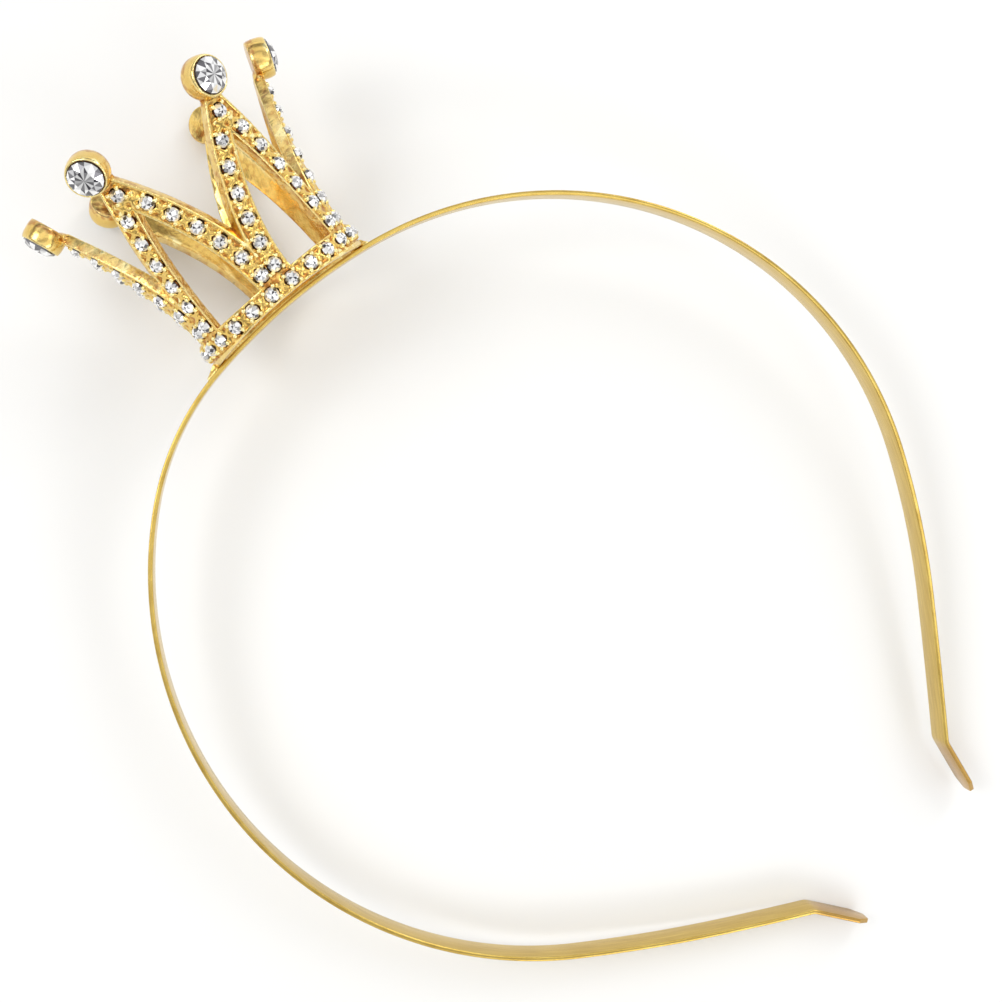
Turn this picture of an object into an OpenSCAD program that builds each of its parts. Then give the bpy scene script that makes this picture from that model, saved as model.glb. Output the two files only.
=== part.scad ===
// Mini crown headband: a thin strip of plated metal bent to an open loop, with a small round
// crown of six points seated off its middle. Each point is two bowed arms set with small cut
// stones and ends in a cup that holds a large one. The part lies on its side on a flat surface,
// on the rear points' large stones and on the headband's tips.

/* [Headband] */
// Width of the strip
strip_width = 6; // [4.5:0.5:8]
// Thickness of the strip
strip_thickness = 0.8; // [0.6:0.1:1.2]
// Radius of the loop that goes round the head
loop_radius = 65; // [60:0.5:70]
// Radius of the flatter stretch under the crown
seat_radius = 100; // [90:5:160]
// Length of strip from the crown's stretch to the right tip's bend, as a share of the loop's radius
right_wrap = 2.545; // [2.4:0.005:2.65]
// Length of strip from the crown's stretch to the left tip's bend, as a share of the loop's radius
left_wrap = 2.892; // [2.75:0.002:3]
// Length of each bent tip
tip_length = 10.4; // [6:0.2:14]
// Angle by which each tip turns outwards
tip_bend = 25; // [10:1:35]
// Length of the cut corners of a tip, along the strip
tip_cut_length = 2; // [1:0.1:3]
// Width of the cut corners of a tip, across the strip
tip_cut_width = 1.6; // [0.8:0.1:2]

/* [Crown] */
// Outer radius of the base ring
ring_radius = 15.7; // [15:0.1:18]
// Thickness of the casting's wall
wall = 1.8; // [1.6:0.1:2.2]
// Height of the base ring
ring_height = 4.4; // [4.2:0.1:5]
// Height of the cups' middles above the ring's bottom edge, on the wall
cup_height = 33.5; // [32:0.1:36]
// Height up to which the wall is upright
flare_start = 2; // [1:0.5:4]
// Radius of the curve by which the wall flares above that
flare_radius = 79; // [70:1:110]
// Turn of the crown about its own axis, as it was fixed on the headband
crown_turn = 1.7; // [-5:0.1:5]

/* [Points] */
// Width of an arm's face
arm_width = 3.7; // [3.5:0.1:4]
// Radius by which an arm bows, seen from the front of its point
arm_radius = 58.7; // [52:0.1:70]
// Distance of an arm's foot from the middle of its point
arm_foot = 6.85; // [6.7:0.05:6.9]
// Height at which an arm stands upright
arm_upright = 2.3; // [1.5:0.1:3]
// Height of the top of the opening between a point's two arms
opening_top = 25; // [22:0.5:25.5]
// Width of the raised rims along the arms and the ring
rim_width = 0.4; // [0.3:0.05:0.5]
// Height of the plain rim along the bottom of the ring
foot_rim = 0.95; // [0.6:0.05:1.1]
// Depth of the channel between the rims, in which the stones sit
channel_depth = 0.2; // [0.15:0.05:0.3]

/* [Cups] */
// Outer diameter of a cup at its widest, halfway down its side
cup_diameter = 6.7; // [6.5:0.1:7]
// Outer diameter of a cup at its rim and at its back
cup_rim_diameter = 6.2; // [6:0.05:6.4]
// Depth of a cup from its rim to its back
cup_depth = 3.3; // [3.1:0.05:3.6]
// Height of a cup's rim above the outer face of the wall
cup_proud = 1.95; // [1.6:0.05:2.2]
// Angle by which a cup looks downwards
cup_tilt = 20; // [10:1:28]

/* [Stones] */
// Diameter of a large stone
tip_stone_diameter = 5.5; // [5:0.1:5.5]
// Height of a large stone's table above the cup's rim
tip_stone_rise = 1.05; // [0.8:0.05:1.5]
// Diameter of a small stone
small_stone_diameter = 2.4; // [2:0.1:2.5]
// Height of a small stone's table above the wall's face
small_stone_rise = 0.75; // [0.5:0.05:1]
// Height of the base row of stones
base_row_height = 2.7; // [2.6:0.05:2.8]
// Length of arm from its upright height to the middle of its lowest stone
lowest_stone = 3.7; // [3.6:0.1:4.2]

/* [Fit] */
// Gap between a stone and its seat
stone_gap = 0.06; // [0.04:0.01:0.1]
// Gap between the crown's feet and the strip
seat_gap = 0.08; // [0.05:0.01:0.15]
// Reach of the left foot along the strip, past the ring
left_foot_reach = 2.2; // [0.6:0.1:3]
// Reach of the right foot along the strip, past the ring
right_foot_reach = 0.6; // [0.6:0.1:3]
// Width of the feet across the strip
foot_width = 4; // [3:0.1:4.4]

/* [Hidden] */

GOLD = "#E2B84C";
CAST_GOLD = "#E8BC50";
STONE = "#DDE4EA";

POINT_COUNT = 6;
ARM_COUNT = 6;          // small stones on one arm
BASE_COUNT = 24;        // small stones round the ring
SEAT_SPARE = 0.3;       // by which the flatter stretch runs on past the ring
FOOT_HEIGHT = 1;        // of a foot where it meets the ring
FOOT_END = 0.2;         // thickness of a foot's outer end
SEAT_SHARE = 0.75;      // depth of a small seat as a share of the wall
CUP_FLOOR = 0.85;       // metal left behind a large stone
TOP_SPACE = 0.66;       // between a cup and the small stone below it
ARM_OVERLAP = 1.05;     // by which the arms run up into a cup
LIP = 0.2;              // upright part of a small seat below the channel
TIP_LIP = 0.6;          // upright part of a large seat
SEAT_TURN = 100;        // turn of a cup or a round seat about its own axis
GIRDLE_SHARE = 0.06;    // height of a stone's girdle as a share of its diameter
CLEAR = 1;              // by which a cutter runs past what it cuts
STEP = 2;               // length of the strip's short straight parts, which make its curve
SEAT_COUNT = 12;        // such parts on each side of the crown's axis
CUP_COUNT = 8;          // short straight parts that make the curve of a cup's side
FINE_SIDES = 720;       // of the largest circles
NEARLY_UP = [0.03, 0.11, 1];    // rough direction of up in the strip's frame, as the part lies

// Stretches of the strip from the crown's stretch to each bend:
// share of that side's length, and radius as a share of the loop's
RIGHT_STRETCHES = [[0.679, 0.966], [0.165, 2.17], [0.156, 18.5]];
LEFT_STRETCHES = [[0.13, 0.716], [0.645, 1.026], [0.151, 4.32], [0.074, 12]];

// Rings of a cut stone: radius and height, as shares of the girdle's radius and of the part of
// the stone that it is in
TABLE_SHARE = 0.52;
MIDDLE_SHARE = 0.82;
MIDDLE_HEIGHT = (1 - MIDDLE_SHARE * cos(22.5)) / (1 - TABLE_SHARE);

// Points of the strip's outer face as [x, y, heading]
function arc_angle(length, r) = length / r * 180 / PI;
function arc_end(p, length, r) =
    let (h = p.z - arc_angle(length, r))
    [p.x + r * (sin(p.z) - sin(h)), p.y - r * (cos(p.z) - cos(h)), h];
function stretch_ends(p, rows, total, i = 0) =
    i == len(rows) ? [p]
    : concat([p], stretch_ends(arc_end(p, rows[i][0] * total, rows[i][1] * loop_radius), rows, total, i + 1));

seat_half = ring_radius + SEAT_SPARE;
right_length = right_wrap * loop_radius;
left_length = left_wrap * loop_radius;
seat_end = arc_end([0, 0, 0], seat_half, seat_radius);
right_ends = stretch_ends(seat_end, RIGHT_STRETCHES, right_length);
left_ends = stretch_ends(seat_end, LEFT_STRETCHES, left_length);

// The outer face of the crown's wall at height u
function slope(u) = asin(max(u - flare_start, 0) / flare_radius);
function wall_r(u) = ring_radius + flare_radius * (1 - cos(slope(u)));

// The strip's outer face above the ring's bottom edge, at a distance x from the crown's axis
seat_lift = seat_radius - sqrt(pow(seat_radius, 2) - pow(ring_radius - wall / 2, 2));
function strip_top(x) = seat_lift - seat_radius + sqrt(pow(seat_radius, 2) - pow(x, 2));

// Stones on an arm: the middle one of a point at the top, the others at even steps down each arm
top_stone_height = cup_height - cup_diameter / 2 * cos(cup_tilt) - small_stone_diameter / 2 - TOP_SPACE;
function arm_x(a) = arm_foot - arm_radius * (1 - cos(a));
function arm_u(a) = arm_upright + arm_radius * sin(a);
lowest_angle = arc_angle(lowest_stone, arm_radius);
top_angle = asin((top_stone_height - arm_upright) / arm_radius);
stone_step = (top_angle - lowest_angle) / ARM_COUNT;
function arm_stone(i) =
    let (a = lowest_angle + i * stone_step, u = arm_u(a))
    [asin(arm_x(a) / wall_r(u)), u];

opening_half = arm_foot - arm_width / 2;
opening_rise = opening_top - arm_upright;
opening_radius = (pow(opening_rise, 2) + pow(opening_half, 2)) / (2 * opening_half);

arm_top = cup_height - cup_diameter / 2 * cos(cup_tilt) + ARM_OVERLAP;
tip_seat_depth = cup_depth - CUP_FLOOR;
small_seat_depth = wall * SEAT_SHARE;

function azimuth(point) = -90 + (point - 1) * 360 / POINT_COUNT;

// Points of one face of a side's strip: on the outer face for depth 0, on the inner for the thickness
function side_face(ends, rows, total, depth) =
    let (bend = ends[len(rows)], far = bend.z + tip_bend)
    concat([for (k = [1 : SEAT_COUNT]) into(arc_end([0, 0, 0], seat_half * k / SEAT_COUNT, seat_radius), depth)],
           [for (i = [0 : len(rows) - 1])
               let (length = rows[i][0] * total, steps = ceil(length / STEP))
               for (k = [1 : i == len(rows) - 1 ? steps - 1 : steps])
                   into(arc_end(ends[i], length * k / steps, rows[i][1] * loop_radius), depth)],
           [[bend.x, bend.y] + depth * (inward(bend.z) + inward(far)) / (1 + cos(tip_bend)),
            [bend.x, bend.y] + tip_length * [cos(far), sin(far)] + depth * inward(far)]);
function inward(h) = [sin(h), -cos(h)];
function into(p, depth) = [p.x, p.y] + depth * inward(p.z);
function turned(points) = [for (i = [len(points) - 1 : -1 : 0]) points[i]];
function mirrored(points) = [for (p = points) [-p.x, p.y]];
function strip_face(depth) =
    concat(turned(mirrored(side_face(left_ends, LEFT_STRETCHES, left_length, depth))),
           [[0, -depth]],
           side_face(right_ends, RIGHT_STRETCHES, right_length, depth));

// How the part lies

// A point given in the frame of a cup's rim, in the frame of the strip
function from_cup(point, p) =
    let (tip = 90 + cup_tilt, turn = azimuth(point) - 90 + crown_turn, out = p.z + cup_proud,
         x = wall_r(cup_height) + p.x * cos(tip) + out * sin(tip),
         z = cup_height - p.x * sin(tip) + out * cos(tip))
    [x * cos(turn) - p.y * sin(turn), z - seat_lift, -x * sin(turn) - p.y * cos(turn)];
function lowest(points, up) =
    let (heights = [for (p = points) p * up])
    points[search(min(heights), heights)[0]];
function unit(v) = v / norm(v);
function up_of(a, b, c) =
    let (n = unit(cross(b - a, c - a)))
    n.z < 0 ? -n : n;
function ring(count, turn, r, z) =
    [for (i = [0 : count - 1]) [r * cos((i + turn) * 360 / count), r * sin((i + turn) * 360 / count), z]];

// Half profile of a cup's side from its back to its rim, as [radius, height]
cup_side = [for (k = [0 : CUP_COUNT])
                let (along = 2 * k / CUP_COUNT - 1)
                [(cup_diameter - (cup_diameter - cup_rim_diameter) * pow(abs(along), 3)) / 2,
                 -cup_depth * (1 - along) / 2]];

// It touches the surface with the cups or stones of the two rear points, and with one tip
function cup_contact(point) =
    lowest([for (p = concat(ring(8, 0.5, tip_stone_diameter / 2 * TABLE_SHARE, tip_stone_rise),
                            [for (q = cup_side, p = ring(48, 0, q.x, q.y)) p]))
                from_cup(point, p)],
           NEARLY_UP);
function tip_contact(bend) =
    let (h = bend.z + tip_bend, reach = tip_length - tip_cut_length)
    lowest([for (depth = [0, strip_thickness])
                let (p = [bend.x, bend.y] + reach * [cos(h), sin(h)] + depth * inward(h))
                [p.x, p.y, -strip_width / 2]],
           NEARLY_UP);
rear = [cup_contact(POINT_COUNT - 1), cup_contact(POINT_COUNT)];
right_tip = tip_contact(right_ends[len(RIGHT_STRETCHES)]);
left_tip = let (p = tip_contact(left_ends[len(LEFT_STRETCHES)])) [-p.x, p.y, p.z];
left_up = up_of(rear[0], rear[1], left_tip);
up = left_up * (right_tip - left_tip) > 0 ? left_up : up_of(rear[0], rear[1], right_tip);
lean = acos(up.z);
lean_axis = unit(cross(up, [0, 0, 1]));
function leaned(p) =
    p * cos(lean) + cross(lean_axis, p) * sin(lean) + lean_axis * (lean_axis * p) * (1 - cos(lean));

// Points at the edges of the whole part, by which it is centred
edges = concat([for (depth = [0, strip_thickness], p = strip_face(depth), side = [-1, 1])
                    leaned([p.x, p.y, side * strip_width / 2])],
               [for (point = [1 : POINT_COUNT], q = cup_side, p = ring(24, 0, q.x, q.y))
                    leaned(from_cup(point, p))]);
xs = [for (p = edges) p.x];
ys = [for (p = edges) p.y];
centre = [(min(xs) + max(xs)) / 2, (min(ys) + max(ys)) / 2, leaned(rear[0]).z];

// Lays the whole part down on its side
module lay() {
    translate(-centre)
        rotate(lean, lean_axis)
            children();
}

// Places its children on the wall: +Z outwards and square to the face
module on_wall(turn, u) {
    rotate([0, 0, turn - 90])
        translate([wall_r(u), 0, u])
            rotate([0, 90 + slope(u), 0])
                children();
}

// Places its children on the rim of a point's cup: +Z outwards along the cup's axis
module in_cup(point) {
    rotate([0, 0, azimuth(point) - 90])
        translate([wall_r(cup_height), 0, cup_height])
            rotate([0, 90 + cup_tilt, 0])
                translate([0, 0, cup_proud])
                    children();
}

// Turns the crown's own frame, with its axis along +Z, to its place on the strip
module on_strip() {
    translate([0, -seat_lift, 0])
        rotate([-90, 0, 0])
            children();
}

// The strip

// Takes the two corners off the tip that starts at the bend p
module tip_corners(p) {
    spread = tip_cut_width / tip_cut_length;
    for (side = [-1, 1])
        translate([p.x, p.y, 0])
            rotate([0, 0, p.z + tip_bend])
                translate([tip_length, CLEAR, 0])
                    rotate([90, 0, 0])
                        linear_extrude(strip_thickness + 2 * CLEAR)
                            polygon([[-tip_cut_length - CLEAR, side * (strip_width / 2 + spread * CLEAR)],
                                     [CLEAR, side * (strip_width / 2 + spread * CLEAR)],
                                     [CLEAR, side * (strip_width / 2 - tip_cut_width - spread * CLEAR)]]);
}

module headband() {
    color(GOLD)
        lay()
            difference() {
                translate([0, 0, -strip_width / 2])
                    linear_extrude(strip_width)
                        polygon(concat(strip_face(0), turned(strip_face(strip_thickness))));
                tip_corners(right_ends[len(RIGHT_STRETCHES)]);
                mirror([1, 0, 0])
                    tip_corners(left_ends[len(LEFT_STRETCHES)]);
            }
}

// The crown

// Half section of all that lies inside the wall's outer face, moved inwards by inset
module inside_section(inset, top) {
    translate([0, -CLEAR])
        square([ring_radius - inset, flare_start + CLEAR]);
    difference() {
        translate([0, flare_start])
            square([ring_radius + flare_radius, top - flare_start]);
        translate([ring_radius + flare_radius, flare_start])
            circle(r = flare_radius + inset, $fn = FINE_SIDES);
    }
}

module inside(inset, top) {
    rotate_extrude($fn = 144)
        inside_section(inset, top);
}

// Two bowed arms in front view, narrowed all round by inset
module arch(inset) {
    difference() {
        intersection() {
            for_both_sides(arm_foot - arm_radius, arm_radius + arm_width / 2 - inset);
            translate([-2 * arm_foot, 0])
                square([4 * arm_foot, arm_top]);
        }
        intersection() {
            for_both_sides(opening_half - opening_radius, opening_radius + inset);
            translate([-arm_foot, ring_height - inset])
                square([2 * arm_foot, cup_height]);
        }
    }
}

// The lens that is inside two like circles, one on each side
module for_both_sides(x, r) {
    intersection() {
        translate([x, arm_upright])
            circle(r = r, $fn = FINE_SIDES);
        translate([-x, arm_upright])
            circle(r = r, $fn = FINE_SIDES);
    }
}

// All six arches through the wall, with the ring below them
module arches(inset, bottom) {
    inner = ring_radius / 2;
    for (n = [1 : POINT_COUNT])
        rotate([0, 0, azimuth(n) - 90])
            rotate([90, 0, 90])
                translate([0, 0, inner])
                    linear_extrude(2 * ring_radius - inner)
                        intersection() {
                            arch(inset);
                            translate([-2 * arm_foot, bottom])
                                square([4 * arm_foot, cup_height]);
                        }
    translate([0, 0, bottom])
        cylinder(h = ring_height - inset - bottom, r = 2 * ring_radius, $fn = 96);
}

module channels() {
    difference() {
        arches(rim_width, foot_rim);
        inside(channel_depth, cup_height + CLEAR);
        seat_curve(seat_gap + rim_width);
    }
}

module wall_and_arches() {
    difference() {
        intersection() {
            difference() {
                inside(0, cup_height);
                inside(wall, cup_height + CLEAR);
            }
            arches(0, 0);
        }
        channels();
    }
}

module cups() {
    for (n = [1 : POINT_COUNT])
        in_cup(n)
            rotate([0, 0, SEAT_TURN])
                rotate_extrude($fn = 48)
                    polygon(concat([[0, -cup_depth]], cup_side, [[0, 0]]));
}

// A seat with an upright lip and a cone below it
module seat(diameter, lip, depth) {
    edge = diameter / 2 + stone_gap;
    rotate([0, 0, SEAT_TURN])
        rotate_extrude($fn = 24)
            polygon([[0, -depth], [diameter / 8, -depth], [edge, -lip], [edge, CLEAR], [0, CLEAR]]);
}

module small_places(point) {
    on_wall(azimuth(point), top_stone_height)
        children();
    for (side = [-1, 1], i = [0 : ARM_COUNT - 1])
        on_wall(azimuth(point) + side * arm_stone(i)[0], arm_stone(i)[1])
            children();
}

module base_places() {
    for (i = [0 : BASE_COUNT - 1])
        on_wall((i + 0.5) * 360 / BASE_COUNT, base_row_height)
            children();
}

module casting() {
    difference() {
        union() {
            wall_and_arches();
            cups();
        }
        for (n = [1 : POINT_COUNT]) {
            in_cup(n)
                seat(tip_stone_diameter, TIP_LIP, tip_seat_depth);
            small_places(n)
                seat(small_stone_diameter, channel_depth + LIP, small_seat_depth);
        }
        base_places()
            seat(small_stone_diameter, channel_depth + LIP, small_seat_depth);
    }
}

// All that lies below the strip's outer face, as it is under the crown, raised by gap
module seat_curve(gap) {
    length = 4 * ring_radius;
    translate([0, length / 2, seat_lift - seat_radius])
        rotate([90, 0, 0])
            cylinder(h = length, r = seat_radius + gap, $fn = FINE_SIDES);
}

module foot(reach) {
    translate([0, foot_width / 2, 0])
        rotate([90, 0, 0])
            linear_extrude(foot_width)
                polygon([[ring_radius - wall, 0], [ring_radius - wall / 2, FOOT_HEIGHT],
                         [ring_radius, FOOT_HEIGHT], [ring_radius + reach, strip_top(ring_radius + reach) + seat_gap + FOOT_END],
                         [ring_radius + reach, -seat_lift * 2], [ring_radius - wall, -seat_lift * 2]]);
}

module crown() {
    color(CAST_GOLD)
        lay()
            on_strip()
                difference() {
                    union() {
                        rotate([0, 0, crown_turn])
                            casting();
                        foot(right_foot_reach);
                        mirror([1, 0, 0])
                            foot(left_foot_reach);
                    }
                    seat_curve(seat_gap);
                }
}

// The stones

// A round brilliant: table, star and kite facets, girdle and a pointed back, its girdle's top at 0
module cut_stone(diameter, rise, depth) {
    r = diameter / 2;
    girdle = diameter * GIRDLE_SHARE;
    points = concat(ring(8, 0.5, r * TABLE_SHARE, rise),
                    ring(8, 0, r * MIDDLE_SHARE, rise * MIDDLE_HEIGHT),
                    ring(8, 0.5, r, 0),
                    ring(8, 0.5, r, -girdle),
                    [[0, 0, -depth]]);
    faces = concat([[for (i = [7 : -1 : 0]) i]],
                   [for (i = [0 : 7]) [i, (i + 1) % 8, 8 + (i + 1) % 8]],
                   [for (i = [0 : 7]) [8 + i, i, 8 + (i + 1) % 8, 16 + i]],
                   [for (i = [0 : 7]) [16 + i, 8 + (i + 1) % 8, 16 + (i + 1) % 8]],
                   [for (i = [0 : 7]) [16 + i, 16 + (i + 1) % 8, 24 + (i + 1) % 8, 24 + i]],
                   [for (i = [0 : 7]) [24 + i, 24 + (i + 1) % 8, 32]]);
    polyhedron(points, faces);
}

module tip_stone(point) {
    color(STONE)
        lay()
            on_strip()
                rotate([0, 0, crown_turn])
                    in_cup(point)
                        cut_stone(tip_stone_diameter, tip_stone_rise, tip_seat_depth - 2 * stone_gap);
}

module small_stone() {
    translate([0, 0, -channel_depth + stone_gap])
        cut_stone(small_stone_diameter, small_stone_rise + channel_depth - stone_gap,
                  small_seat_depth - channel_depth - stone_gap);
}

module point_stones(point) {
    color(STONE)
        lay()
            on_strip()
                rotate([0, 0, crown_turn])
                    small_places(point)
                        small_stone();
}

module base_stones() {
    color(STONE)
        lay()
            on_strip()
                rotate([0, 0, crown_turn])
                    base_places()
                        small_stone();
}

headband();
crown();
tip_stone(1);  // tip_stone_1
tip_stone(2);  // tip_stone_2
tip_stone(3);  // tip_stone_3
tip_stone(4);  // tip_stone_4
tip_stone(5);  // tip_stone_5
tip_stone(6);  // tip_stone_6
point_stones(1);  // point_stones_1
point_stones(2);  // point_stones_2
point_stones(3);  // point_stones_3
point_stones(4);  // point_stones_4
point_stones(5);  // point_stones_5
point_stones(6);  // point_stones_6
base_stones();
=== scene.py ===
from math import asin, atan2, copysign, cos, pi, radians, sin, sqrt, tan

import bpy
from mathutils import Matrix, Vector
from mathutils.kdtree import KDTree


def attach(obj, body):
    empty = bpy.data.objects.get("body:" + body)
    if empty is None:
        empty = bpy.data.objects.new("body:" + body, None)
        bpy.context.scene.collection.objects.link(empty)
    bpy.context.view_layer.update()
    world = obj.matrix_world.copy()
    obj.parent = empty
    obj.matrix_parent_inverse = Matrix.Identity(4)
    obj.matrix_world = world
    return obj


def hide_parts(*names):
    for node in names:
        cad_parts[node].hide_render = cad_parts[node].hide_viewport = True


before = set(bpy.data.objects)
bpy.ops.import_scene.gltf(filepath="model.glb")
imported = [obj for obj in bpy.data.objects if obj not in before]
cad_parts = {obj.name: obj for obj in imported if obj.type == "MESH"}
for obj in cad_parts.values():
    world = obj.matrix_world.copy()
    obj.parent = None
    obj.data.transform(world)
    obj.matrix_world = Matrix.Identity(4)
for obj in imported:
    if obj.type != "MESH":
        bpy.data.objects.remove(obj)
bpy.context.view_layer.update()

# The headband is one strip of sprung steel, drawn flat, bent to an open loop and then plated
# with gold colour. Its edges are rolled round, and its tips are bent out and lose their corners.

MM = 0.001
STRIP_WIDTH = 6 * MM
STRIP_THICKNESS = 0.8 * MM
STRIP_EDGE = 0.22 * MM      # rounding of its edges
EDGE_STEPS = 4
LOOP_RADIUS = 65 * MM
SEAT_RADIUS = 100 * MM      # of the stretch that the crown stands on
SEAT_HALF = 16 * MM         # half the length of that stretch
STEP = 1.5 * MM             # length of one step round an arc
RIGHT_LENGTH = 2.545 * LOOP_RADIUS
LEFT_LENGTH = 2.892 * LOOP_RADIUS
# each stretch: share of its side's length, and its radius as a share of the loop's
RIGHT_STRETCHES = ((0.679, 0.966), (0.165, 2.17), (0.156, 18.5))
LEFT_STRETCHES = ((0.13, 0.716), (0.645, 1.026), (0.151, 4.32), (0.074, 12))
TIP_LENGTH = 10.4 * MM
TIP_BEND = radians(25)
TIP_BEND_RADIUS = 1.4 * MM
TIP_CUT_LENGTH = 2 * MM     # the cut corners, along the strip and across it
TIP_CUT_WIDTH = 1.6 * MM

# how the whole piece lies: a small lean about this axis, then its place on the surface
LEAN = radians(6.5383)
LEAN_AXIS = Vector((0.96589, -0.25895, 0)).normalized()
LAID_AT = Vector((-3.2333, 54.6788, 18.8909)) * MM
laid = Matrix.Translation(LAID_AT) @ Matrix.Rotation(LEAN, 4, LEAN_AXIS)


def select_only(piece):
    bpy.ops.object.select_all(action="DESELECT")
    piece.select_set(True)
    bpy.context.view_layer.objects.active = piece


def lay_down(piece):
    """Moves a piece made in the strip's own plane to where the headband lies."""
    piece.matrix_world = laid
    select_only(piece)
    bpy.ops.object.transform_apply(location=True, rotation=True, scale=True)


def spin_along(point, heading, length, radius, outwards=False):
    """Carries the selected end of the strip along an arc, and returns where it ends."""
    turn = length / radius
    side = -1 if outwards else 1
    centre = point + side * radius * Vector((sin(heading), -cos(heading), 0))
    bpy.ops.mesh.spin(steps=max(2, round(length / STEP)), angle=side * turn,
                      center=centre, axis=(0, 0, 1))
    after = heading - side * turn
    return centre - side * radius * Vector((sin(after), -cos(after), 0)), after


def strip_side(name, stretches, total):
    """One half of the strip, from the crown's middle to its tip."""
    bpy.ops.object.select_all(action="DESELECT")
    bpy.ops.mesh.primitive_plane_add(size=1, location=(0, -STRIP_THICKNESS / 2, 0),
                                     rotation=(0, pi / 2, 0))
    half = bpy.context.object
    half.name = name
    half.scale = (STRIP_WIDTH, STRIP_THICKNESS, 1)
    bpy.ops.object.transform_apply(location=True, rotation=True, scale=True)
    bpy.ops.object.mode_set(mode="EDIT")
    bpy.ops.mesh.select_all(action="SELECT")
    bpy.ops.mesh.bevel(offset=STRIP_EDGE, segments=EDGE_STEPS, affect="VERTICES")
    bpy.ops.mesh.delete(type="ONLY_FACE")
    bpy.ops.mesh.select_all(action="SELECT")
    point, heading = spin_along(Vector(), 0, SEAT_HALF, SEAT_RADIUS)
    early = TIP_BEND_RADIUS * tan(TIP_BEND / 2)     # the bend starts this far before its corner
    for i, (share, wide) in enumerate(stretches):
        length = share * total - (early if i == len(stretches) - 1 else 0)
        point, heading = spin_along(point, heading, length, wide * LOOP_RADIUS)
    point, heading = spin_along(point, heading, TIP_BEND * TIP_BEND_RADIUS, TIP_BEND_RADIUS,
                                outwards=True)
    along = Vector((cos(heading), sin(heading), 0))
    straight = TIP_LENGTH - early - TIP_CUT_LENGTH
    bpy.ops.mesh.extrude_region_move(TRANSFORM_OT_translate={"value": along * straight})
    bpy.ops.mesh.extrude_region_move(TRANSFORM_OT_translate={"value": along * TIP_CUT_LENGTH})
    bpy.ops.transform.resize(value=(1, 1, 1 - 2 * TIP_CUT_WIDTH / STRIP_WIDTH), center_override=point)
    bpy.ops.mesh.edge_face_add()
    bpy.ops.object.mode_set(mode="OBJECT")
    return half


strip = strip_side("headband_strip", RIGHT_STRETCHES, RIGHT_LENGTH)
left_half = strip_side("left_half", LEFT_STRETCHES, LEFT_LENGTH)
left_half.scale = (-1, 1, 1)
bpy.ops.object.transform_apply(location=True, rotation=True, scale=True)
select_only(strip)
left_half.select_set(True)
bpy.ops.object.join()
bpy.ops.object.mode_set(mode="EDIT")
bpy.ops.mesh.select_all(action="SELECT")
bpy.ops.mesh.remove_doubles(threshold=0.01 * MM)
bpy.ops.mesh.normals_make_consistent(inside=False)
bpy.ops.object.mode_set(mode="OBJECT")
lay_down(strip)
bpy.ops.object.shade_smooth_by_angle(angle=radians(35))


def from_hex(code):
    """An sRGB hex colour as Blender's linear colour."""
    parts = [int(code[i:i + 2], 16) / 255 for i in (1, 3, 5)]
    return [c / 12.92 if c <= 0.04045 else ((c + 0.055) / 1.055) ** 2.4 for c in parts] + [1]


def add_node(owner, kind, settings=(), links=()):
    """Adds a node: settings are its own values or its inputs' values, links go into its inputs."""
    node = owner.node_tree.nodes.new(kind)
    for key, value in dict(settings).items():
        if isinstance(key, str) and hasattr(node, key):
            setattr(node, key, value)
        else:
            node.inputs[key].default_value = value
    for key, source in dict(links).items():
        owner.node_tree.links.new(source, node.inputs[key])
    return node


def new_material(name):
    material = bpy.data.materials.new(name)
    material.use_nodes = True
    return material, material.node_tree.nodes["Principled BSDF"]


def feed(owner, shader, sources):
    for socket, source in sources.items():
        owner.node_tree.links.new(source, shader.inputs[socket])


# Gold-coloured plating on drawn steel: a clear polish with a faint cloud, streaks and fine lines
# left by the rolls, and a duller tan at the tips, where fingers rub the lacquer off. The streaks
# and lines are drawn level, so they cross the leaning strip at up to 7 degrees.
CLOUD_SCALE = 220                   # clouds about 5 mm across
STREAK_SCALE = (150, 150, 2500)     # streaks about 7 mm long and 0.4 mm wide
LINE_SCALE = (40, 40, 2000)         # the rolls' lines, about 0.5 mm apart across the strip
LINE_DEPTH = 0.03 * MM
TOWARDS_TIPS = (-0.1817, 1, 0)      # square to the line through the strip's two sharp bends
RUBBED_FROM = -82.4 * MM            # where the tan begins on that way, and where it is full
RUBBED_TO = -84.4 * MM
plated_steel, shader = new_material("gold_plated_steel")
shader.inputs["Metallic"].default_value = 1
spot = add_node(plated_steel, "ShaderNodeTexCoord").outputs["Object"]
cloud = add_node(plated_steel, "ShaderNodeTexNoise", {"Scale": CLOUD_SCALE, "Detail": 4},
                 {"Vector": spot})
stretched = add_node(plated_steel, "ShaderNodeMapping", {"Scale": STREAK_SCALE}, {"Vector": spot})
streaks = add_node(plated_steel, "ShaderNodeTexNoise", {"Scale": 1, "Detail": 3},
                   {"Vector": stretched.outputs["Vector"]})
streaky = add_node(plated_steel, "ShaderNodeMapRange", {"From Min": 0.2, "From Max": 0.8},
                   {"Value": streaks.outputs["Fac"]})
tint = add_node(plated_steel, "ShaderNodeMix",
                {"data_type": "RGBA", 6: from_hex("#E1C56F"), 7: from_hex("#BF9E4E")},
                {0: streaky.outputs["Result"]})
towards = add_node(plated_steel, "ShaderNodeVectorMath",
                   {"operation": "DOT_PRODUCT", 1: TOWARDS_TIPS}, {0: spot})
tips = add_node(plated_steel, "ShaderNodeMapRange",
                {"From Min": RUBBED_FROM, "From Max": RUBBED_TO, "To Max": 0.85},
                {"Value": towards.outputs["Value"]})
worn = add_node(plated_steel, "ShaderNodeMix", {"data_type": "RGBA", 7: from_hex("#B99150")},
                {0: tips.outputs["Result"], 6: tint.outputs[2]})
layers = add_node(plated_steel, "ShaderNodeMapping", {"Scale": LINE_SCALE}, {"Vector": spot})
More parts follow.
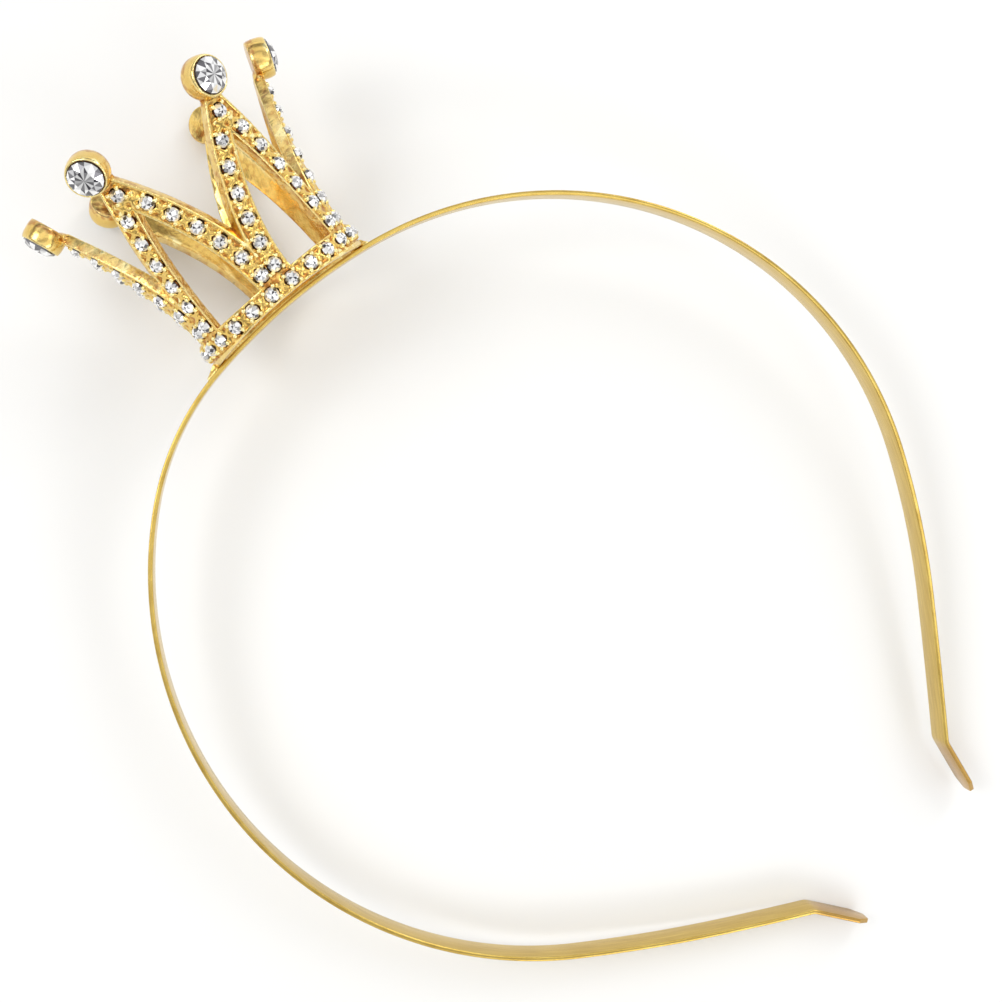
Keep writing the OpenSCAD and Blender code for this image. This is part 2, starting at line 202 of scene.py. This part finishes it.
lines = add_node(plated_steel, "ShaderNodeTexNoise", {"Scale": 1, "Detail": 2},
                 {"Vector": layers.outputs["Vector"]})
bump = add_node(plated_steel, "ShaderNodeBump", {"Strength": 0.25, "Distance": LINE_DEPTH},
                {"Height": lines.outputs["Fac"]})
dull = add_node(plated_steel, "ShaderNodeMapRange", {"To Min": 0.18, "To Max": 0.3},
                {"Value": cloud.outputs["Fac"]})
feed(plated_steel, shader, {"Base Color": worn.outputs[2], "Roughness": dull.outputs["Result"],
                            "Normal": bump.outputs["Normal"]})
strip.data.materials.append(plated_steel)
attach(strip, "root")
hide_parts("headband")

# The crown is cast in zinc alloy in one piece, tumbled until its edges are round, and plated. A
# channel between raised rims holds the stones, with four grains round each and ridges that cross
# between them. Its two feet stand on the strip, with solder along both sides of each.

CAST_GRID = 0.13 * MM       # coarseness of the tumbled surface
CAST_FACES = 180000         # triangles that it is thinned to
RING_RADIUS = 15.7 * MM
WALL = 1.8 * MM
FLARE_START = 2 * MM        # height above which the wall flares
FLARE_RADIUS = 79 * MM
CHANNEL = 0.2 * MM          # depth of the channel between the rims
SEAT_LIFT = SEAT_RADIUS - sqrt(SEAT_RADIUS ** 2 - (RING_RADIUS - WALL / 2) ** 2)
CROWN_TURN = radians(1.7)
CUP_HEIGHT = 33.5 * MM
CUP_PROUD = 1.95 * MM
CUP_TILT = radians(20)
CUP_DIAMETER = 6.7 * MM
TOP_SPACE = 0.66 * MM       # between a cup and the small stone below it
POINTS = 6
ARM_RADIUS = 58.7 * MM
ARM_FOOT = 6.85 * MM        # from the point's middle to where an arm's line starts
ARM_UPRIGHT = 2.3 * MM      # height up to which an arm runs straight up
BASE_ROW = 2.7 * MM         # height of the ring's row of stones
SMALL_STONE = 2.4 * MM
ARM_STONES = 6
LOWEST_STONE = 3.7 * MM     # of an arm, along it from its upright height
RING_STONES = 24
GRAIN = 0.85 * MM
GRAIN_OFF = 0.2 * MM        # from the stone's edge to a grain's middle
RIDGE_LENGTH = 2.6 * MM
RIDGE_WIDTH = 0.9 * MM
RIDGE_HEIGHT = 0.3 * MM
RIDGE_ANGLE = radians(47)   # between a ridge and its row
NECK = Vector((3.4, 3.8, 1.8)) * MM         # the metal that fills the corner below each cup
NECK_HEIGHT = 30.8 * MM
FEET = (-17.6 * MM, 16.1 * MM)              # where each foot ends, from the crown's middle
FOOT_START = 13.9 * MM                      # where each starts
FOOT_WIDTH = 4 * MM
SOLDER = 0.9 * MM           # width of a run of solder


def wall_slope(height):
    return asin(max(height - FLARE_START, 0) / FLARE_RADIUS)


def wall_radius(height):
    return RING_RADIUS + FLARE_RADIUS * (1 - cos(wall_slope(height)))


# from the crown's own frame, with its axis along +Z, to where it lies
crown_laid = laid @ Matrix.Translation((0, -SEAT_LIFT, 0)) @ Matrix.Rotation(-pi / 2, 4, "X")


def crown_place(turn, radius, height, tilt):
    """A place on the crown, turned so that +Z points outwards and +X down."""
    return (crown_laid @ Matrix.Rotation(CROWN_TURN + turn - pi / 2, 4, "Z")
            @ Matrix.Translation((radius, 0, height)) @ Matrix.Rotation(pi / 2 + tilt, 4, "Y"))


def on_wall(turn, height):
    return crown_place(turn, wall_radius(height), height, wall_slope(height))


def point_turn(point):
    return radians(360 * point / POINTS - 90)


def in_cup(point):
    return (crown_place(point_turn(point), wall_radius(CUP_HEIGHT), CUP_HEIGHT, CUP_TILT)
            @ Matrix.Translation((0, 0, CUP_PROUD)))


def stone_rows(point):
    """Places of the thirteen small stones of a point, each turned to run along its arm."""
    top = CUP_HEIGHT - CUP_DIAMETER / 2 * cos(CUP_TILT) - SMALL_STONE / 2 - TOP_SPACE
    low_angle, top_angle = LOWEST_STONE / ARM_RADIUS, asin((top - ARM_UPRIGHT) / ARM_RADIUS)
    middle = point_turn(point)
    places = [on_wall(middle, top)]
    for side in (-1, 1):
        for i in range(ARM_STONES):
            angle = low_angle + i * (top_angle - low_angle) / ARM_STONES
            height = ARM_UPRIGHT + ARM_RADIUS * sin(angle)
            across = asin((ARM_FOOT - ARM_RADIUS * (1 - cos(angle))) / wall_radius(height))
            place = on_wall(middle + side * across, height)
            places.append(place @ Matrix.Rotation(side * angle, 4, "Z"))
    return places


# the small stones' seats, by the row that they belong to
ring_turns = [radians(360 * (i + 0.5) / RING_STONES) for i in range(RING_STONES)]
rows = {"base_stones": [on_wall(turn, BASE_ROW) @ Matrix.Rotation(pi / 2, 4, "Z")
                        for turn in ring_turns]}
for point in range(POINTS):
    rows["point_stones_%d" % (point + 1)] = stone_rows(point)

bpy.ops.object.select_all(action="DESELECT")
bpy.ops.mesh.primitive_ico_sphere_add(subdivisions=2, radius=GRAIN / 2, location=(0, 0, 0))
grain = bpy.context.object
bpy.ops.object.select_all(action="DESELECT")
bpy.ops.mesh.primitive_cylinder_add(vertices=8, radius=RIDGE_WIDTH / 2, depth=RIDGE_LENGTH,
                                    rotation=(0, pi / 2, 0))
ridge = bpy.context.object
bpy.ops.object.transform_apply(location=True, rotation=True, scale=True)
ridge.scale = (1, 1, 2 * RIDGE_HEIGHT / RIDGE_WIDTH)
bpy.ops.object.transform_apply(location=True, rotation=True, scale=True)

# the casting starts from the CAD crown, and everything raised on it is fused to it below
cad_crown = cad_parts["crown"]
casting = bpy.data.objects.new("crown_casting", cad_crown.data.copy())
bpy.context.scene.collection.objects.link(casting)
raised = []


def raise_on_casting(shape, place):
    copy = bpy.data.objects.new(shape.name, shape.data.copy())
    bpy.context.scene.collection.objects.link(copy)
    copy.data.transform(place)
    raised.append(copy)


# grains at the four corners of each stone, and ridges crossed between each two neighbours
out_to_grain = Matrix.Translation((SMALL_STONE / 2 + GRAIN_OFF, 0, 0))
for node, places in rows.items():
    for place in places:
        for corner in (45, 135, 225, 315):
            to_corner = Matrix.Rotation(radians(corner), 4, "Z") @ out_to_grain
            raise_on_casting(grain, place @ to_corner)
    if node == "base_stones":
        runs = [places + places[:1]]
    else:
        runs = [places[1:ARM_STONES + 1] + places[:1], places[ARM_STONES + 1:] + places[:1]]
    for run in runs:
        for one, other in zip(run, run[1:]):
            between = one.lerp(other, 0.5) @ Matrix.Translation((0, 0, -CHANNEL))
            for turn in (-RIDGE_ANGLE, RIDGE_ANGLE):
                raise_on_casting(ridge, between @ Matrix.Rotation(turn, 4, "Z"))
for point in range(POINTS):
    neck = on_wall(point_turn(point), NECK_HEIGHT) @ Matrix.Translation((0, 0, -WALL / 2))
    raise_on_casting(grain, neck @ Matrix.Diagonal((*(NECK / GRAIN), 1)))
# solder, laid in drops along both sides of each foot
for end in FEET:
    steps = round((abs(end) - FOOT_START) / (SOLDER / 2))
    for i in range(steps + 1):
        along = copysign(FOOT_START + i / steps * (abs(end) - FOOT_START), end)
        on_strip = sqrt(SEAT_RADIUS ** 2 - along ** 2) - SEAT_RADIUS
        for side in (-1, 1):
            drop = laid @ Matrix.Translation((along, on_strip, side * FOOT_WIDTH / 2))
            raise_on_casting(grain, drop @ Matrix.Scale(SOLDER / GRAIN, 4))
bpy.data.objects.remove(grain)
bpy.data.objects.remove(ridge)

# one skin over the lot, rounded as tumbling rounds it
select_only(casting)
for piece in raised:
    piece.select_set(True)
bpy.ops.object.join()
bpy.ops.object.mode_set(mode="EDIT")
bpy.ops.mesh.select_all(action="SELECT")
bpy.ops.mesh.remove_doubles(threshold=0.001 * MM)
bpy.ops.object.mode_set(mode="OBJECT")
tumble = casting.modifiers.new("tumble", "REMESH")
tumble.mode = "VOXEL"
tumble.voxel_size = CAST_GRID
tumble.use_smooth_shade = True
bpy.ops.object.modifier_apply(modifier="tumble")
soften = casting.modifiers.new("soften", "SMOOTH")
soften.factor = 0.5
soften.iterations = 1
bpy.ops.object.modifier_apply(modifier="soften")
thin = casting.modifiers.new("thin", "DECIMATE")
thin.ratio = min(1, CAST_FACES / (2 * len(casting.data.polygons)))
bpy.ops.object.modifier_apply(modifier="thin")

# how much painted shade and stain each point takes: most round the seats, where it paints the shadow
# in the gap round each stone, on the floor of the channel and on the arms' sides, a little on the
# inner faces of the lower crown, and not at all on the rims
FULL_SHADE_AND_STAIN = 0.8
FLOOR_SHADE_AND_STAIN = 0.75
INSIDE_SHADE_AND_STAIN = 0.32
INSIDE_SHADE_AND_STAIN_TOP = 28 * MM  # height above which the inner faces are clean
seats = KDTree(sum(len(places) for places in rows.values()))
for places in rows.values():
    for place in places:
        seats.insert(place.translation, 0)
seats.balance()
shade_and_stain = casting.data.attributes.new(name="shade_and_stain", type="FLOAT", domain="POINT")
upright = crown_laid.inverted()
for vertex, value in zip(casting.data.vertices, shade_and_stain.data):
    x, y, z = upright @ vertex.co
    # deep is 1 at the channel's floor and 9 at the inner face, from_stone 1 at a stone's edge
    deep = (wall_radius(z) - sqrt(x * x + y * y)) / CHANNEL
    from_stone = seats.find(vertex.co)[2] / (SMALL_STONE / 2)
    if from_stone < 1.15 and deep > 0.4:
        value.value = FULL_SHADE_AND_STAIN
    elif deep > 8:
        value.value = INSIDE_SHADE_AND_STAIN if z < INSIDE_SHADE_AND_STAIN_TOP else 0
    else:
        value.value = max(FULL_SHADE_AND_STAIN if deep > 1.5 else 0, min(FLOOR_SHADE_AND_STAIN, 2 * (deep - 0.4)))

# Yellow gold plating on a rough casting, with a painted highlight, pale and bright, on its sharp
# edges, painted shade, orange and brown, in its hollows and recesses, patches of stain, and small
# dents that break up what it reflects.
SHADE_SCALE = 500           # clouds of paler and deeper gold about 2 mm across
PATCH_SCALE = 1100          # patches of the stain about 0.9 mm across
PATCH_CONTRAST = 5
PATCH_SHIFT = -2.6
WAVE_SCALE = 260            # an uneven surface, with waves about 4 mm across
WAVE_DEPTH = 0.4 * MM
DENT_SCALE = 900            # dents about 1 mm across
DENT_DEPTH = 0.15 * MM
cast_gold, shader = new_material("gold_plated_casting")
shader.inputs["Metallic"].default_value = 1
spot = add_node(cast_gold, "ShaderNodeTexCoord").outputs["Object"]
bend = add_node(cast_gold, "ShaderNodeNewGeometry").outputs["Pointiness"]
cloud = add_node(cast_gold, "ShaderNodeTexNoise", {"Scale": SHADE_SCALE, "Detail": 4},
                 {"Vector": spot})
tint = add_node(cast_gold, "ShaderNodeMix",
                {"data_type": "RGBA", 6: from_hex("#EFCF7C"), 7: from_hex("#DDB358")},
                {0: cloud.outputs["Fac"]})
# painted shade: orange-brown in the hollows, where pointiness is low
hollow_shade = add_node(cast_gold, "ShaderNodeMapRange",
                  {"From Min": 0.38, "From Max": 0.49, "To Min": 1, "To Max": 0}, {"Value": bend})
# painted highlight: pale gold on the sharp edges, where pointiness is high
edge_highlight = add_node(cast_gold, "ShaderNodeMapRange", {"From Min": 0.51, "From Max": 0.57},
                {"Value": bend})
hollow_shaded = add_node(cast_gold, "ShaderNodeMix", {"data_type": "RGBA", 7: from_hex("#B8742A")},
                   {0: hollow_shade.outputs["Result"], 6: tint.outputs[2]})
shade_and_stain_here = add_node(cast_gold, "ShaderNodeAttribute", {"attribute_name": "shade_and_stain"})
blotch = add_node(cast_gold, "ShaderNodeTexNoise", {"Scale": PATCH_SCALE, "Detail": 2},
                  {"Vector": spot})
patchy = add_node(cast_gold, "ShaderNodeMath",
                  {"operation": "MULTIPLY_ADD", 1: PATCH_CONTRAST, 2: PATCH_SHIFT},
                  {0: blotch.outputs["Fac"]})
patches = add_node(cast_gold, "ShaderNodeMath", {"operation": "ADD", "use_clamp": True},
                   {0: shade_and_stain_here.outputs["Fac"], 1: patchy.outputs["Value"]})
patches_here = add_node(cast_gold, "ShaderNodeMath", {"operation": "MULTIPLY"},
                        {0: patches.outputs["Value"], 1: shade_and_stain_here.outputs["Fac"]})
# painted shade in the seats, channel and sides, broken into patches of stain, in orange-brown
toned = add_node(cast_gold, "ShaderNodeMix", {"data_type": "RGBA", 7: from_hex("#A85A1C")},
                 {0: patches_here.outputs["Value"], 6: hollow_shaded.outputs[2]})
highlighted = add_node(cast_gold, "ShaderNodeMix", {"data_type": "RGBA", 7: from_hex("#FFF0B0")},
                  {0: edge_highlight.outputs["Result"], 6: toned.outputs[2]})
waves = add_node(cast_gold, "ShaderNodeTexNoise", {"Scale": WAVE_SCALE, "Detail": 1},
                 {"Vector": spot})
swell = add_node(cast_gold, "ShaderNodeBump", {"Strength": 0.6, "Distance": WAVE_DEPTH},
                 {"Height": waves.outputs["Fac"]})
dents = add_node(cast_gold, "ShaderNodeTexNoise", {"Scale": DENT_SCALE, "Detail": 3},
                 {"Vector": spot})
bump = add_node(cast_gold, "ShaderNodeBump", {"Strength": 0.5, "Distance": DENT_DEPTH},
                {"Height": dents.outputs["Fac"], "Normal": swell.outputs["Normal"]})
dull = add_node(cast_gold, "ShaderNodeMapRange", {"To Min": 0.14, "To Max": 0.3},
                {"Value": cloud.outputs["Fac"]})
feed(cast_gold, shader, {"Base Color": highlighted.outputs[2], "Roughness": dull.outputs["Result"],
                         "Normal": bump.outputs["Normal"]})
casting.data.materials.clear()
casting.data.materials.append(cast_gold)
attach(casting, "root")
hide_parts("crown")

# Cut glass stones with silver foil behind them: a star of facets round a flat table. The small
# ones stand in a row along each arm and round the ring, and each point's cup holds a large one.

SMALL_SHOWN = 2.36 * MM     # across the glass, inside the dark line round it
SMALL_RISE = 0.75 * MM      # height of its table above the wall's face
SMALL_BACK = 1.1 * MM
LARGE_STONE = 5.5 * MM
LARGE_RISE = 1 * MM         # height of its table above the cup's rim
LARGE_GIRDLE = 0.25 * MM    # height of its widest part above the cup's rim
LARGE_BACK = 1.8 * MM
# how far each large stone is turned in its cup, and each small one past the one before, in radians
LARGE_TURNS = (0.5, 1.5, 2.5, 3.5, 4.7, 5.5)
SMALL_TURN = 1.7
# proportions of both cuts
TABLE_SHARE = 0.55          # the flat table, of the radius
FACET_SHARE = 0.81          # the ring where the upper facets meet, of the radius
FACET_RISE_SHARE = 0.58     # its height, of the table's
GIRDLE_SHARE = 0.06         # the girdle's height, of the diameter
POINT_SHARE = 0.25          # the blunt end of the back, of the radius
POINT_DEPTH_SHARE = 0.9     # its depth, of the back's
# inner facets end and outer ones start at these shares of the radius, and take other painted
# reflection tones
INNER_FACETS = 0.72
OUTER_FACETS = 0.9


def cut_stone(name, diameter, rise, back, sectors, table_reflection_tones, side_reflection_tones):
    """A round brilliant cut, a hull over the rings of its corners, its girdle's top at height 0."""
    radius = diameter / 2
    bpy.ops.object.select_all(action="DESELECT")
    bpy.ops.mesh.primitive_circle_add(vertices=8, radius=radius * TABLE_SHARE,
                                      location=(0, 0, rise), rotation=(0, 0, pi / 8))
    stone = bpy.context.object
    stone.name = name
    bpy.ops.object.transform_apply(location=True, rotation=True, scale=True)
    bpy.ops.object.mode_set(mode="EDIT")
    for corners, share, height in ((8, FACET_SHARE, FACET_RISE_SHARE * rise), (16, 1, 0),
                                   (16, 1, -GIRDLE_SHARE * diameter),
                                   (8, POINT_SHARE, -POINT_DEPTH_SHARE * back)):
        bpy.ops.mesh.primitive_circle_add(vertices=corners, radius=radius * share,
                                          location=(0, 0, height), rotation=(0, 0, 0))
    bpy.ops.mesh.select_all(action="SELECT")
    bpy.ops.mesh.convex_hull(join_triangles=True)
    for i in range(sectors // 2):
        bpy.ops.mesh.select_all(action="SELECT")
        cut = 2 * pi * i / sectors
        bpy.ops.mesh.bisect(plane_co=(0, 0, 0), plane_no=(sin(cut), cos(cut), 0))
    bpy.ops.mesh.select_all(action="SELECT")
    bpy.ops.mesh.normals_make_consistent(inside=False)
    bpy.ops.object.mode_set(mode="OBJECT")
    # painted reflection: the grey that each facet takes, from dark to bright, stands in for what it
    # mirrors of the foil and the room
    reflection_tones = stone.data.color_attributes.new(name="reflection_tone", type="FLOAT_COLOR", domain="CORNER")
    for face in stone.data.polygons:
        middle = face.center
        sector = int((atan2(middle.y, middle.x) / (2 * pi) + 1) * sectors + 0.01) % sectors
        out = middle.xy.length / radius
        if face.normal.z > 0.99:
            reflection_tone = table_reflection_tones[sector % len(table_reflection_tones)]
        elif face.normal.z > 0.1:
            shift = (out < INNER_FACETS) + 3 * (out > OUTER_FACETS)
            reflection_tone = side_reflection_tones[(sector + shift) % len(side_reflection_tones)]
        else:
            reflection_tone = 0.1
        for corner in face.loop_indices:
            reflection_tones.data[corner].color = (reflection_tone, reflection_tone, reflection_tone, 1)
    return stone


def set_stones(name, cut, places, spin):
    """Copies the cut stone to its places, each turned by a further part of a circle."""
    copies = []
    for i, place in enumerate(places):
        copy = bpy.data.objects.new(name, cut.data.copy())
        bpy.context.scene.collection.objects.link(copy)
        copy.data.transform(place @ Matrix.Rotation(spin * (i + 1), 4, "Z"))
        copies.append(copy)
    select_only(copies[0])
    for copy in copies:
        copy.select_set(True)
    if len(copies) > 1:
        bpy.ops.object.join()
    return copies[0]


# Clear glass over silver foil, with its reflections painted: each facet takes one grey, from near
# black to white, from its painted reflection tone, under a hard bright polish.
glass, shader = new_material("foiled_glass")
shader.inputs["Metallic"].default_value = 0.5
shader.inputs["Roughness"].default_value = 0.05
shader.inputs["Coat Weight"].default_value = 1
reflection_tone = add_node(glass, "ShaderNodeAttribute", {"attribute_name": "reflection_tone"})
painted_reflection = add_node(glass, "ShaderNodeValToRGB", {}, {"Fac": reflection_tone.outputs["Fac"]})
painted_reflection.color_ramp.elements[0].color = from_hex("#2E2B36")
painted_reflection.color_ramp.elements[1].color = from_hex("#FFFFFF")
feed(glass, shader, {"Base Color": painted_reflection.outputs["Color"]})

# the last two rows of each cut are the painted reflection tones round its table and round its sides
small_cut = cut_stone("small_cut", SMALL_SHOWN, SMALL_RISE, SMALL_BACK, 8,
                      (1, 0.1, 1, 1, 0.02, 0.9, 0.4, 1), (1, 0.3, 1, 0.9, 0.05, 1, 0.9, 0.45))
large_cut = cut_stone("large_cut", LARGE_STONE, LARGE_RISE - LARGE_GIRDLE, LARGE_BACK, 16,
                      (1, 0.3, 0.9, 0.05, 0.95, 0.15, 0.6, 0.4),
                      (1, 0.75, 0.06, 0.9, 0.5, 0.12, 1, 0.03))
jewels = [(set_stones("set_" + node, small_cut, places, SMALL_TURN), node)
          for node, places in rows.items()]
on_rim = Matrix.Translation((0, 0, LARGE_GIRDLE))
for point, turn in enumerate(LARGE_TURNS):
    node = "tip_stone_%d" % (point + 1)
    jewels.append((set_stones("set_" + node, large_cut, [in_cup(point) @ on_rim], turn), node))
for jewel, node in jewels:
    jewel.data.materials.append(glass)
    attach(jewel, "root")
    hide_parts(node)
for cut in (small_cut, large_cut):
    bpy.data.objects.remove(cut)

# The table that it lies on is one wide sheet of white card, smooth and dull. It shows only the
# piece's soft pale shadows.

bpy.ops.object.select_all(action="DESELECT")
bpy.ops.mesh.primitive_plane_add(size=20, location=(0, 0, 0))
table = bpy.context.object
table.name = "table"
white_card, shader = new_material("white_card")
shader.inputs["Base Color"].default_value = from_hex("#F6F6F5")
shader.inputs["Roughness"].default_value = 0.8
shader.inputs["Specular IOR Level"].default_value = 0.1
table.data.materials.append(white_card)

# The studio is a white tent with darker stretches in its walls and roof, which the polished gold
# mirrors as streaks. Three softboxes light it, and a fainter one brightens the strip's right side.

# the tent's brightness, by the sine of the angle above the horizon
TENT = ((0.2, 1), (0.34, 0.28), (0.5, 0.12), (0.62, 0.8), (0.8, 1), (0.88, 0.3), (0.95, 0.5),
        (0.975, 1))
TENT_STRENGTH = 1.23
world = bpy.data.worlds.new("studio")
bpy.context.scene.world = world
world.use_nodes = True
tent = world.node_tree.nodes["Background"]
where = add_node(world, "ShaderNodeTexCoord")
axes = add_node(world, "ShaderNodeSeparateXYZ", {}, {"Vector": where.outputs["Generated"]})
bands = add_node(world, "ShaderNodeValToRGB", {}, {"Fac": axes.outputs["Z"]})
feed(world, tent, {"Color": bands.outputs["Color"]})
tent.inputs["Strength"].default_value = TENT_STRENGTH
for end in bands.color_ramp.elements:
    end.color = (1, 1, 1, 1)
for height, grey in TENT:
    band = bands.color_ramp.elements.new(height)
    band.color = (grey, grey, grey, 1)


def softbox(name, place, aim, size, power):
    bpy.ops.object.light_add(type="AREA", location=place)
    light = bpy.context.object
    light.name = name
    light.data.shape = "RECTANGLE"
    light.data.size, light.data.size_y = size
    light.data.energy = power
    light.rotation_euler = (Vector(aim) - Vector(place)).to_track_quat("-Z", "Y").to_euler()


softbox("overhead_softbox", (-0.25, 0.3, 0.5), (0, 0, 0), (0.25, 0.25), 0.8)
softbox("right_softbox", (0.5, 0.1, 0.35), (0, 0, 0), (0.12, 0.4), 0.6)
softbox("near_softbox", (-0.1, -0.5, 0.4), (0, 0, 0), (0.4, 0.12), 0.6)
softbox("edge_softbox", (0.145, -0.2, 0.46), (0.05, -0.03, 0), (0.12, 0.36), 0.17)

# The camera looks down from nearly straight above, as in the photo. Its place, turn and lens were
# fitted to the photo's view.

CAMERA_PLACE = (-0.022207, 0.015545, 0.281979)
CAMERA_TURN = (radians(2.034), radians(-5.1836), radians(-41.2359))
CAMERA_LENS = 57.485        # in mm, as the sensor is
CAMERA_SENSOR = 36
CAMERA_NEAR = 10 * MM
bpy.ops.object.camera_add(location=CAMERA_PLACE, rotation=CAMERA_TURN)
camera = bpy.context.object
camera.data.lens = CAMERA_LENS
camera.data.sensor_width = CAMERA_SENSOR
camera.data.clip_start = CAMERA_NEAR
bpy.context.scene.camera = camera
bpy.context.scene.view_settings.view_transform = "Standard"
